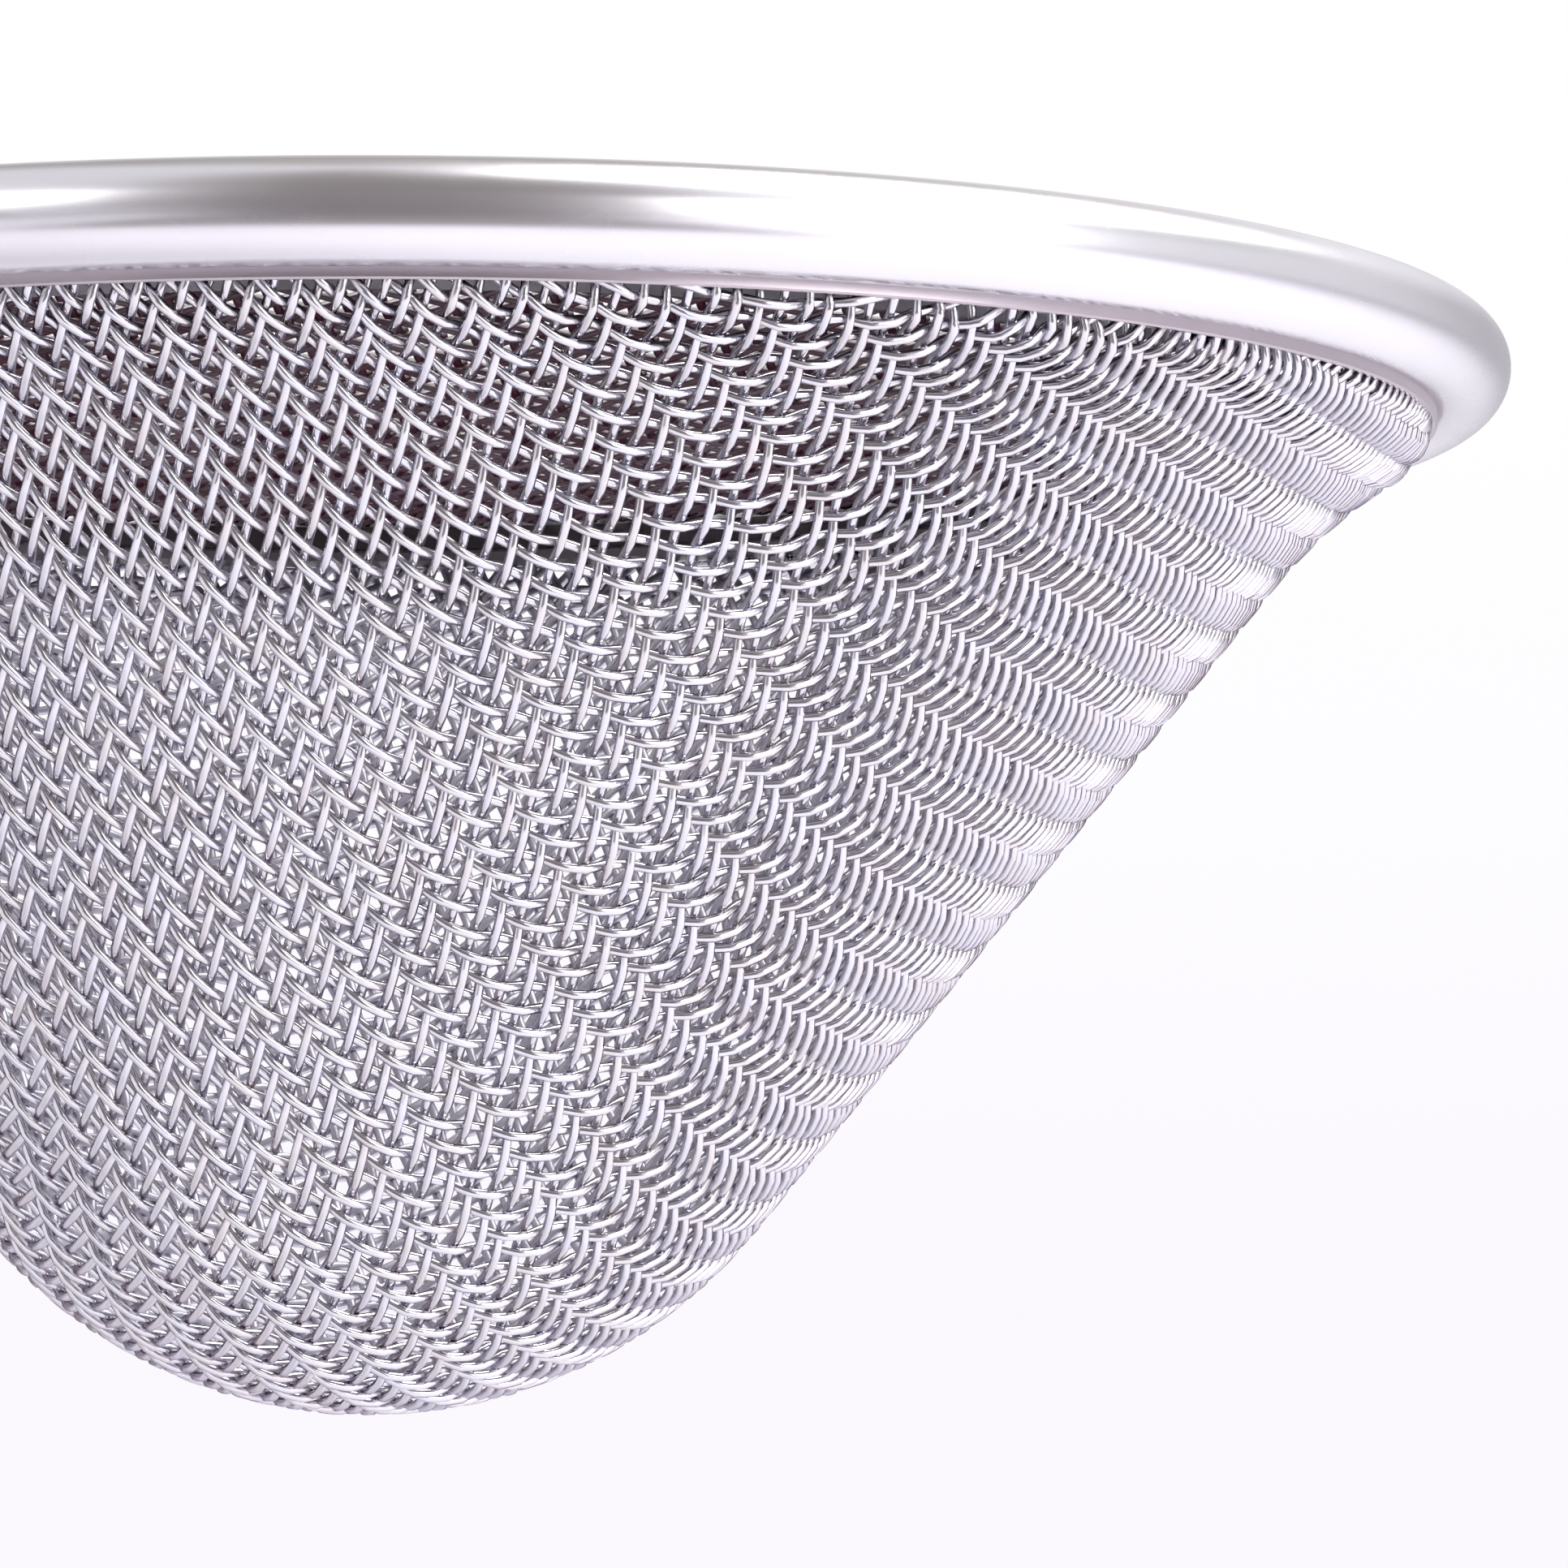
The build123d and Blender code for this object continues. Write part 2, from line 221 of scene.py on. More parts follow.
def inward_group() -> bpy.types.NodeTree:
    """Build the group that gives the side of a wire that faces the axis its own duller look.

    Returns:
        A group that swaps colour and roughness where the surface faces the upright axis.
    """
    group = new_group(
        "inward side",
        {"Color": (0.6, 0.6, 0.6), "Roughness": 0.2, "Inner color": (0.6, 0.6, 0.6),
         "Inner roughness": 0.5},
        {"Color": "NodeSocketColor", "Roughness": "NodeSocketFloat"},
    )
    link = group.links.new
    source, sink = group.nodes["in"], group.nodes["out"]
    spot = add_node(group, "ShaderNodeTexCoord")
    level = add_node(group, "ShaderNodeVectorMath", operation="MULTIPLY")
    level.inputs[1].default_value = (1.0, 1.0, 0.0)
    away = add_node(group, "ShaderNodeVectorMath", operation="NORMALIZE")
    lean = add_node(group, "ShaderNodeVectorMath", operation="DOT_PRODUCT")
    inward = add_node(group, "ShaderNodeMapRange",
                      {"From Min": 0.15, "From Max": -0.15}, interpolation_type="SMOOTHSTEP")
    tone = add_node(group, "ShaderNodeMix", data_type="RGBA")
    rough = add_node(group, "ShaderNodeMapRange")
    link(spot.outputs["Object"], level.inputs[0])
    link(level.outputs["Vector"], away.inputs[0])
    link(away.outputs["Vector"], lean.inputs[0])
    link(spot.outputs["Normal"], lean.inputs[1])
    link(lean.outputs["Value"], inward.inputs["Value"])
    link(inward.outputs["Result"], tone.inputs["Factor"])
    link(source.outputs["Color"], tone.inputs["A"])
    link(source.outputs["Inner color"], tone.inputs["B"])
    link(tone.outputs["Result"], sink.inputs["Color"])
    link(inward.outputs["Result"], rough.inputs["Value"])
    link(source.outputs["Roughness"], rough.inputs["To Min"])
    link(source.outputs["Inner roughness"], rough.inputs["To Max"])
    link(rough.outputs["Result"], sink.inputs["Roughness"])
    return group


class Workshop:
    """Keeps the shared shader groups, each built once."""

    groups: dict = {}

    @classmethod
    def group(cls, name: str) -> bpy.types.NodeTree:
        """Return the named shared group, building it the first time."""
        makers = {"tint drift": mottle_group, "rolled grain": grain_group, "painted underside shade": underside_shade_group,
                  "inward side": inward_group}
        if name not in cls.groups:
            cls.groups[name] = makers[name]()
        return cls.groups[name]


# ---------------------------------------------------------------- finishes


@dataclass(frozen=True)
class Steel:
    """A stainless finish: a drifting tint and roughness over fine rolled lines.

    Painted shade can lie on what faces down, and what faces the axis can be duller.
    """

    name: str
    tint: tuple[float, float, float]
    other_tint: tuple[float, float, float]
    roughness: float
    roughness_drift: float = 0.06
    share: float = 0.4
    patch_scale: float = 60.0
    grain_scale: float = 900.0
    grain_depth: float = 0.3
    grain_along: float = 0.05
    bump: float = 0.05
    # an edge tint below white paints shade on grazing edges, as dark outlines
    edge_tint: tuple[float, float, float] = (1.0, 1.0, 1.0)
    # painted shade: a dark colour laid on faces that point down, and how fully it covers them
    underside_shade: tuple[float, float, float] = (0.10, 0.07, 0.08)
    underside_shade_cover: float = 0.0
    inner_tint: tuple[float, float, float] = (0.6, 0.6, 0.6)
    inner_roughness: float = 0.0

    def material(self) -> bpy.types.Material:
        """Build the material.

        Returns:
            A metallic material whose colour, roughness and bump vary over the surface.
        """
        material = bpy.data.materials.new(self.name)
        material.use_nodes = True
        tree = material.node_tree
        shader = tree.nodes["Principled BSDF"]
        shader.inputs["Metallic"].default_value = 1.0
        # a darker edge tint gives the grazing edges painted shade
        shader.inputs["Specular Tint"].default_value = (*self.edge_tint, 1.0)
        drift = add_node(tree, "ShaderNodeGroup", node_tree=Workshop.group("tint drift"))
        drift.inputs["Tint"].default_value = (*self.tint, 1.0)
        drift.inputs["Other tint"].default_value = (*self.other_tint, 1.0)
        drift.inputs["Scale"].default_value = self.patch_scale
        drift.inputs["Share"].default_value = self.share
        drift.inputs["Roughness"].default_value = self.roughness
        drift.inputs["Roughness drift"].default_value = self.roughness_drift
        grain = add_node(tree, "ShaderNodeGroup", node_tree=Workshop.group("rolled grain"))
        grain.inputs["Scale"].default_value = self.grain_scale
        grain.inputs["Along"].default_value = self.grain_along
        grain.inputs["Depth"].default_value = self.grain_depth
        bump = add_node(tree, "ShaderNodeBump", {"Strength": self.bump, "Distance": BUMP_HEIGHT})
        colour = drift.outputs["Color"]
        # lay painted shade on the faces that point down
        if self.underside_shade_cover > 0:
            underside_shade = add_node(tree, "ShaderNodeGroup", node_tree=Workshop.group("painted underside shade"))
            underside_shade.inputs["Shade colour"].default_value = (*self.underside_shade, 1.0)
            underside_shade.inputs["Cover"].default_value = self.underside_shade_cover
            tree.links.new(colour, underside_shade.inputs["Color"])
            colour = underside_shade.outputs["Color"]
        roughness = drift.outputs["Roughness"]
        if self.inner_roughness > 0:
            inner = add_node(tree, "ShaderNodeGroup", node_tree=Workshop.group("inward side"))
            inner.inputs["Inner color"].default_value = (*self.inner_tint, 1.0)
            inner.inputs["Inner roughness"].default_value = self.inner_roughness
            tree.links.new(colour, inner.inputs["Color"])
            tree.links.new(roughness, inner.inputs["Roughness"])
            colour, roughness = inner.outputs["Color"], inner.outputs["Roughness"]
        tree.links.new(colour, shader.inputs["Base Color"])
        tree.links.new(roughness, shader.inputs["Roughness"])
        tree.links.new(grain.outputs["Height"], bump.inputs["Height"])
        tree.links.new(bump.outputs["Normal"], shader.inputs["Normal"])
        return material


@dataclass(frozen=True)
class Rubber:
    """A matt moulded sleeve."""

    name: str
    tint: tuple[float, float, float]
    other_tint: tuple[float, float, float]
    roughness: float = 0.6
    dust_scale: float = 400.0
    pebble_scale: float = 2500.0
    pebble_bump: float = 0.4

    def material(self) -> bpy.types.Material:
        """Build the material.

        Returns:
            A matt material with a dusty drift and a fine pebble.
        """
        material = bpy.data.materials.new(self.name)
        material.use_nodes = True
        tree = material.node_tree
        shader = tree.nodes["Principled BSDF"]
        drift = add_node(tree, "ShaderNodeGroup", node_tree=Workshop.group("tint drift"))
        drift.inputs["Tint"].default_value = (*self.tint, 1.0)
        drift.inputs["Other tint"].default_value = (*self.other_tint, 1.0)
        drift.inputs["Scale"].default_value = self.dust_scale
        drift.inputs["Roughness"].default_value = self.roughness
        grain = add_node(tree, "ShaderNodeGroup", node_tree=Workshop.group("rolled grain"))
        grain.inputs["Scale"].default_value = self.pebble_scale
        grain.inputs["Along"].default_value = 1.0
        bump = add_node(tree, "ShaderNodeBump", {"Strength": self.pebble_bump, "Distance": BUMP_HEIGHT})
        tree.links.new(drift.outputs["Color"], shader.inputs["Base Color"])
        tree.links.new(drift.outputs["Roughness"], shader.inputs["Roughness"])
        tree.links.new(grain.outputs["Height"], bump.inputs["Height"])
        tree.links.new(bump.outputs["Normal"], shader.inputs["Normal"])
        return material


POLISHED = Steel("polished rolled rim", (0.73, 0.715, 0.75), (0.69, 0.675, 0.71), 0.25, 0.04, bump=0.004)
# darker copy of the rim steel for the lip's bottom edge and upright faces: painted shade in the crease
# and under the lip
LIP_PAINTED_SHADE = Steel("rim lip painted shade", (0.47, 0.42, 0.45), (0.43, 0.385, 0.42), 0.32, 0.04, bump=0.01)
# the darker edge tint paints shade on the wires' grazing edges, as dark outlines
CLOTH_WIRE = Steel("bright sieve wire", (0.66, 0.655, 0.72), (0.65, 0.585, 0.53), 0.12, 0.08, share=0.45,
                   patch_scale=350.0, grain_depth=0.2, edge_tint=(0.40, 0.34, 0.40),
                   inner_tint=(0.67, 0.66, 0.73), inner_roughness=0.5)
# the coarse cloth's downward faces get painted shade, and its darker edge tint paints shade on the wires'
# grazing edges
COARSE_WIRE = Steel("coarse sieve wire", (0.56, 0.54, 0.56), (0.50, 0.46, 0.44), 0.28, 0.10,
                    underside_shade=(0.115, 0.066, 0.08), underside_shade_cover=1.0, edge_tint=(0.3, 0.25, 0.27))
SATIN = Steel("satin strip", (0.10, 0.085, 0.095), (0.07, 0.06, 0.07), 0.34, 0.08, bump=0.1)
# the ledge ring's downward faces get painted shade
LEDGE_STEEL = Steel("satin ledge ring", (0.42, 0.41, 0.43), (0.36, 0.35, 0.37), 0.34, 0.08, bump=0.1,
                    underside_shade=(0.05, 0.035, 0.045), underside_shade_cover=1.0)
FITTING = Steel("satin fittings", (0.60, 0.60, 0.62), (0.54, 0.54, 0.56), 0.26, 0.08, bump=0.1)
BRIGHT = Steel("bright drawn wire", (0.68, 0.68, 0.70), (0.60, 0.60, 0.62), 0.14, 0.06)
GRIP = Rubber("matt rubber sleeve", (0.035, 0.035, 0.038), (0.06, 0.06, 0.062))


class Dresser:
    """Puts finishes on pieces and on the nodes carried over from the frame."""

    def __init__(self) -> None:
        """Start with no material made."""
        self.made: dict = {}

    def material(self, finish: Steel | Rubber) -> bpy.types.Material:
        """Return the finish's material, building it the first time."""
        if finish.name not in self.made:
            self.made[finish.name] = finish.material()
        return self.made[finish.name]

    def dress(self, piece: bpy.types.Object, finish: Steel | Rubber) -> None:
        """Give a piece this finish in its first slot and no other."""
        piece.data.materials.clear()
        piece.data.materials.append(self.material(finish))

    def dress_node(self, name: str, finish: Steel | Rubber) -> None:
        """Give a carried-over node this finish in each of its slots."""
        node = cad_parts[name]
        for holder in node.material_slots:
            holder.material = self.material(finish)
        if not node.material_slots:
            node.data.materials.append(self.material(finish))
        LOG.info("dressed %s as %s", name, finish.name)


# ---------------------------------------------------------------- mesh and curve helpers


def place(name: str, data: bpy.types.ID, body: str, nodes: tuple[str, ...]) -> bpy.types.Object:
    """Link a finished piece, let it ride on its body and stand for its nodes.

    Args:
        name: the piece's name.
        data: its mesh or curve.
        body: the body it rides on.
        nodes: the nodes that it stands for.

    Returns:
        The new object.
    """
    piece = bpy.data.objects.new(name, data)
    bpy.context.scene.collection.objects.link(piece)
    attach(piece, body)
    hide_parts(*nodes)
    LOG.info("made %s on %s", name, body)
    return piece


def mesh_from(shape: bmesh.types.BMesh, name: str) -> bpy.types.Mesh:
    """Close a bmesh into smooth-shaded mesh data with its faces turned outwards.

    Args:
        shape: the finished bmesh, freed here.
        name: the mesh's name.

    Returns:
        The new mesh.
    """
    bmesh.ops.remove_doubles(shape, verts=shape.verts, dist=MERGE_DISTANCE)
    bmesh.ops.recalc_face_normals(shape, faces=shape.faces)
    mesh = bpy.data.meshes.new(name)
    shape.to_mesh(mesh)
    shape.free()
    for polygon in mesh.polygons:
        polygon.use_smooth = True
    mesh.set_sharp_from_angle(angle=SHARP_ANGLE)
    return mesh


def arc(centre: tuple, radius: float, start: float, end: float, steps: int) -> list:
    """Points of a circular arc.

    Args:
        centre: the arc's centre in the section's plane.
        radius: its radius.
        start: first angle in degrees.
        end: last angle in degrees.
        steps: number of equal parts.

    Returns:
        The points from start to end, both included.
    """
    turns = [math.radians(start + (end - start) * k / steps) for k in range(steps + 1)]
    return [(centre[0] + radius * math.cos(t), centre[1] + radius * math.sin(t)) for t in turns]


def turned(section: list, name: str, steps: int) -> bpy.types.Mesh:
    """Spin a closed section of (radius, height) points about the upright axis.

    Args:
        section: the section's points in order.
        name: the mesh's name.
        steps: number of parts in the turn.

    Returns:
        The turned mesh.
    """
    shape = bmesh.new()
    verts = [shape.verts.new((radius, 0.0, height)) for radius, height in section]
    edges = [shape.edges.new((verts[k - 1], verts[k])) for k in range(len(verts))]
    bmesh.ops.spin(shape, geom=verts + edges, axis=(0, 0, 1), cent=(0, 0, 0), steps=steps,
                   angle=math.tau, use_merge=True, use_duplicate=False)
    return mesh_from(shape, name)


def wire_curve(name: str, sides: int) -> bpy.types.Curve:
    """Start a 3-D curve whose splines are round wires.

    Args:
        name: the curve's name.
        sides: bevel resolution; the section has four plus twice this many sides.

    Returns:
        The empty curve.
    """
    curve = bpy.data.curves.new(name, "CURVE")
    curve.dimensions = "3D"
    curve.bevel_depth = 1.0
    curve.bevel_resolution = sides
    curve.use_fill_caps = True
    curve.resolution_u = 2
    return curve


def add_wire(curve: bpy.types.Curve, points: list, radius: float) -> None:
    """Add one wire of this radius through the given points."""
    spline = curve.splines.new("POLY")
    spline.points.add(len(points) - 1)
    flat = [value for point in points for value in (*point, 1.0)]
    spline.points.foreach_set("co", flat)
    spline.points.foreach_set("radius", [radius] * len(points))
    spline.use_smooth = True


# ---------------------------------------------------------------- the lower sieve


@dataclass
class ClothShape:
    """Middle surface of the fine cloth, by distance along it from the tip."""

    tip_radius: float = 32.0 * MM
    thickness: float = 0.65 * MM
    flare_inset: float = 2.5 * MM
    flare_angle: float = math.radians(60)
    lip_bend: float = 1.2 * MM
    lip_relief: float = 0.2 * MM

    def __post_init__(self) -> None:
        """Work the arcs and lengths out from the frame's boxes."""
        self.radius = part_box("fine_mesh")[1].x - self.thickness / 2
        self.lip_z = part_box("lower_rim")[0].z
        self.tip_z = self.tip_radius + self.thickness / 2
        foot = Vector((self.radius - self.flare_inset, self.lip_z - self.tip_z))
        self.lean = math.acos(self.tip_radius / foot.length) - math.atan2(foot.y, foot.x)
        self.bend_centre = Vector((self.radius - self.lip_bend, self.lip_z - self.lip_relief))
        bend_end = self.bend_centre + self.outward(self.flare_angle) * self.lip_bend
        slope = math.tan(self.lean)
        surplus = bend_end.x - (self.radius - self.flare_inset - (self.lip_z - bend_end.y) * slope)
        turn = math.cos(self.lean) - math.cos(self.flare_angle)
        drop = math.sin(self.flare_angle) - math.sin(self.lean)
        self.flare_radius = surplus / (turn - slope * drop)
        self.flare_centre = bend_end + self.outward(self.flare_angle) * self.flare_radius
        self.cap_end = Vector((0, self.tip_z)) + self.outward(self.lean) * self.tip_radius
        cone_end = self.flare_centre - self.outward(self.lean) * self.flare_radius
        self.cap_length = self.tip_radius * (math.pi / 2 - self.lean)
        self.cone_length = (cone_end - self.cap_end).length
        self.ease_length = self.flare_radius * (self.flare_angle - self.lean)
        self.bend_length = self.lip_bend * self.flare_angle
        self.length = self.cap_length + self.cone_length + self.ease_length + self.bend_length

    @staticmethod
    def outward(lean: float) -> Vector:
        """Outward normal of the cloth where it leans in by this much from upright."""
        return Vector((math.cos(lean), -math.sin(lean)))

    def at(self, distance: float) -> tuple[Vector, Vector]:
        """Point and outward normal in the upright section.

        Args:
            distance: distance along the cloth from the tip.

        Returns:
            The point and the normal, each as radius and height.
        """
        left = distance
        if left < self.cap_length:
            normal = self.outward(math.pi / 2 - left / self.tip_radius)
            return Vector((0, self.tip_z)) + normal * self.tip_radius, normal
        left -= self.cap_length
        if left < self.cone_length:
            along = Vector((math.sin(self.lean), math.cos(self.lean)))
            return self.cap_end + along * left, self.outward(self.lean)
        left -= self.cone_length
        if left < self.ease_length:
            normal = self.outward(self.lean + left / self.flare_radius)
            return self.flare_centre - normal * self.flare_radius, normal
        left -= self.ease_length
        if left < self.bend_length:
            normal = self.outward(self.flare_angle - left / self.lip_bend)
            return self.bend_centre + normal * self.lip_bend, normal
        left -= self.bend_length
        return Vector((self.radius, self.bend_centre.y + left)), Vector((1, 0))


@dataclass
class Drape:
    """The flat cloth pressed to the cone: wires keep their length and the cells shear.

    A quarter of the cloth is laid out node by node from two meridians, each node one step
    from both its neighbours; the other quarters are its mirror images.
    """

    shape: ClothShape
    limit: float
    step: float = 1.5 * MM
    rounds: int = 8

    def __post_init__(self) -> None:
        """Lay out the quarter."""
        self.nodes: dict = {}
        count = int(self.limit / self.step) + 3
        for k in range(count):
            self.nodes[k, 0] = self.node(k * self.step, 0.0)
            self.nodes[0, k] = self.node(k * self.step, math.pi / 2)
        for i in range(1, count):
            for j in range(1, count):
                if (i - 1, j) in self.nodes and (i, j - 1) in self.nodes:
                    before, beside = self.nodes[i - 1, j], self.nodes[i, j - 1]
                    if max(before[0], beside[0]) < self.limit:
                        self.nodes[i, j] = self.between(before, beside, self.nodes[i - 1, j - 1])

    def node(self, distance: float, azimuth: float) -> tuple[float, Vector, Vector]:
        """Distance from the tip, place and outward normal of a node."""
        spot, normal = self.shape.at(distance)
        across = Vector((math.cos(azimuth), math.sin(azimuth), 0))
        place_at = across * spot.x + Vector((0, 0, spot.y))
        return distance, place_at, across * normal.x + Vector((0, 0, normal.y))

    def between(self, before: tuple, beside: tuple, behind: tuple) -> tuple[float, Vector, Vector]:
        """Find the node one step away from two neighbours.

        Args:
            before: the neighbour one step back along the weft.
            beside: the neighbour one step back along the warp.
            behind: the node diagonally behind.

        Returns:
            The new node.
        """
        guess = before[1] + beside[1] - behind[1]
        azimuth = math.atan2(guess.y, guess.x)
        distance = max(before[0], beside[0]) + self.step / 2
        for _ in range(self.rounds):
            _, here, normal = self.node(distance, azimuth)
            across = Vector((-math.sin(azimuth), math.cos(azimuth), 0))
            down = across.cross(normal)
            if down.z < 0:
                down.negate()
            turn = across * math.hypot(here.x, here.y)
            first, second = here - before[1], here - beside[1]
            miss = (first.length_squared - self.step**2, second.length_squared - self.step**2)
            a, b = 2 * first.dot(down), 2 * first.dot(turn)
            c, d = 2 * second.dot(down), 2 * second.dot(turn)
            scale = a * d - b * c
            distance -= (d * miss[0] - b * miss[1]) / scale
            azimuth -= (a * miss[1] - c * miss[0]) / scale
        return self.node(distance, azimuth)

    def at(self, u: float, v: float) -> tuple[float, Vector, Vector] | None:
        """Distance from the tip, place and normal of a point of the flat cloth, or None outside."""
        i, j = int(abs(u) / self.step), int(abs(v) / self.step)
        f, g = abs(u) / self.step - i, abs(v) / self.step - j
        corners = [self.nodes.get(key) for key in ((i, j), (i + 1, j), (i, j + 1), (i + 1, j + 1))]
        if None in corners:
            return None
        shares = ((1 - f) * (1 - g), f * (1 - g), (1 - f) * g, f * g)
        distance = sum(share * corner[0] for share, corner in zip(shares, corners))
        spot, normal = Vector(), Vector()
        for share, corner in zip(shares, corners):
            spot += corner[1] * share
            normal += corner[2] * share
        mirror = Vector((math.copysign(1, u), math.copysign(1, v), 1))
        return distance, spot * mirror, (normal * mirror).normalized()


@dataclass
class FineCloth:
    """Twill-woven wire cloth pressed to the cone, one curve per band of wires."""

    warp_spacing: float = 1.46 * MM
    weft_spacing: float = 1.55 * MM
    wire_radius: float = 0.31 * MM
    crimp: float = 0.30 * MM
    heading: float = math.radians(139.5)
    hidden_edge: float = 1.6 * MM
    wander: float = 0.06
    samples: int = 3
    bands: int = 3
    sides: int = 1
    seed: int = 7
    crest: float = 1.06
    slow_wander: float = 0.10
    quick_wander: float = 0.22
    shape: ClothShape = field(default_factory=ClothShape)

    def __post_init__(self) -> None:
        """Press the flat cloth to the cone."""
        self.reach = self.shape.length + self.hidden_edge
        self.drape = Drape(self.shape, self.reach + 2 * self.weft_spacing)
        self.turn = Matrix.Rotation(self.heading, 3, "Z")

    def wave(self, index: float, along: float) -> float:
        """Crimp of a warp wire at a place along it, about -1 to 1, over two and under two."""
        swing = math.sqrt(2.0) * math.cos(math.tau * (index - along - 0.5) / Weave.TWILL.value)
        return max(-self.crest, min(self.crest, swing))

    def wire(self, family: Family, index: int, noise: random.Random) -> list:
        """Points of one wire of the cloth.

        Args:
            family: warp or weft.
            index: the wire's number from the middle.
            noise: seeded source for the wire's small wander.

        Returns:
            The wire's points, a few to a crossing, as far as the cloth reaches.
        """
        shift = noise.uniform(-self.wander, self.wander)
        phase = noise.uniform(0, math.tau)
        rate = noise.uniform(self.slow_wander, self.quick_wander)
        halves = []
        for way in (-1, 1):
            half, step = [], 0 if way > 0 else -1
            while True:
                along = step / self.samples
                across = index + shift + self.wander * math.sin(rate * along + phase)
                if family is Family.WARP:
                    lift = self.crimp * self.wave(index, along)
                    spot = self.drape.at(across * self.warp_spacing, along * self.weft_spacing)
                else:
                    lift = -self.crimp * self.wave(along, index)
                    spot = self.drape.at(along * self.warp_spacing, across * self.weft_spacing)
                if spot is None or spot[0] > self.reach:
                    break
                half.append(self.turn @ (spot[1] + spot[2] * lift))
                step += way
            halves.append(half)
        return halves[0][::-1] + halves[1]

    def build(self, dresser: Dresser) -> None:
        """Weave both families and dress them.

        Args:
            dresser: puts the finish on each band.
        """
        noise = random.Random(self.seed)
        for family in Family:
            own = self.warp_spacing if family is Family.WARP else self.weft_spacing
            last = int(self.reach / own)
            for band in range(self.bands):
                low = -last + round((2 * last + 1) * band / self.bands)
                high = -last + round((2 * last + 1) * (band + 1) / self.bands)
                curve = wire_curve(f"fine_{family.value}_{band + 1}", self.sides)
                for index in range(low, high):
                    points = self.wire(family, index, noise)
                    if len(points) >= SHORTEST_WIRE:
                        add_wire(curve, points, self.wire_radius)
                piece = place(curve.name, curve, "lower_sieve", ("fine_mesh",))
                dresser.dress(piece, CLOTH_WIRE)


@dataclass
class LowerRim:
    """Rolled rim whose lip and inner leg grip the fine cloth."""

    bead_diameter: float = 6.4 * MM
    strip: float = 0.45 * MM
    cloth: float = 0.65 * MM
    leg_relief: float = 0.2 * MM
    ring: float = 0.6 * MM
    ledge: float = 3.2 * MM
    edge_round: float = 0.12 * MM
    outside_steps: int = 72
    inside_steps: int = 48
    steps: int = 360
    quick_steps: int = 96
    upright: float = 0.5  # a face counts as upright when its normal rises less than this

    def __post_init__(self) -> None:
        """Take the bead's place from the frame."""
        low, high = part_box("lower_rim")
        self.radius = high.x
        self.lip_z = low.z
        self.bead = self.bead_diameter / 2
        self.centre = (self.radius - self.bead, high.z - self.bead)
        self.leg_in = self.centre[0] - self.bead
        self.leg_out = self.leg_in + self.strip
        self.cloth_out = self.leg_out + self.cloth
        self.lip_out = self.cloth_out + self.strip

    def strip_section(self) -> list:
        """Section of the rolled strip, from its lip round the bead to its inner leg."""
        core = self.bead - self.strip
        lip_turn = math.degrees(math.acos((self.lip_out - self.centre[0]) / self.bead))
        core_turn = math.degrees(math.acos((self.cloth_out - self.centre[0]) / core))
        leg_z = self.lip_z + self.leg_relief
        cut = self.edge_round
        outside = arc(self.centre, self.bead, -lip_turn, 180, self.outside_steps)
        inside = arc(self.centre, core, 180, -core_turn, self.inside_steps)
        leg = [(self.leg_in, leg_z), (self.leg_out, leg_z)]
        lip = [(self.cloth_out, self.lip_z + cut), (self.cloth_out + cut, self.lip_z),
               (self.lip_out - cut, self.lip_z), (self.lip_out, self.lip_z + cut)]
        return outside + leg + inside + lip

    def ring_section(self) -> list:
        """Section of the angle ring whose ledge carries the upper sieve."""
        leg_z = self.lip_z + self.leg_relief
        inner = self.leg_in - self.ring
        top = self.centre[1]
        return [(self.leg_in, top), (self.leg_in, leg_z), (inner - self.ledge, leg_z),
                (inner - self.ledge, leg_z + self.ring), (inner, leg_z + self.ring), (inner, top)]

    def shade_lip(self, rim: bpy.types.Mesh, dresser: Dresser) -> None:
        """Give the lip's bottom edge and upright faces below the bead a darker, rougher copy of the rim
        steel: painted shade in the crease and under the lip.

        Args:
            rim: the turned strip.
            dresser: makes the finish.
        """
        rim.materials.append(dresser.material(LIP_PAINTED_SHADE))
        for polygon in rim.polygons:
            reach = math.hypot(polygon.center.x, polygon.center.y)
            below = polygon.center.z < self.centre[1]
            if below and self.cloth_out < reach < self.lip_out + self.edge_round:
                edge = polygon.center.z < self.lip_z + self.edge_round
                polygon.material_index = int(edge or abs(polygon.normal.z) < self.upright)

    def build(self, dresser: Dresser) -> None:
        """Turn the rim and the support ring.

        Args:
            dresser: puts the finishes on them.
        """
        steps = self.steps
        rim = turned(self.strip_section(), "rolled_rim", steps)
        piece = place("rolled_rim", rim, "lower_sieve", ("lower_rim",))
        dresser.dress(piece, POLISHED)
        # darken the lip's edge and crease faces as painted shade
        self.shade_lip(rim, dresser)
        ledge = turned(self.ring_section(), "ledge_ring", steps)
        piece = place("ledge_ring", ledge, "lower_sieve", ("support_ring",))
        dresser.dress(piece, LEDGE_STEEL)


# ---------------------------------------------------------------- the upper sieve


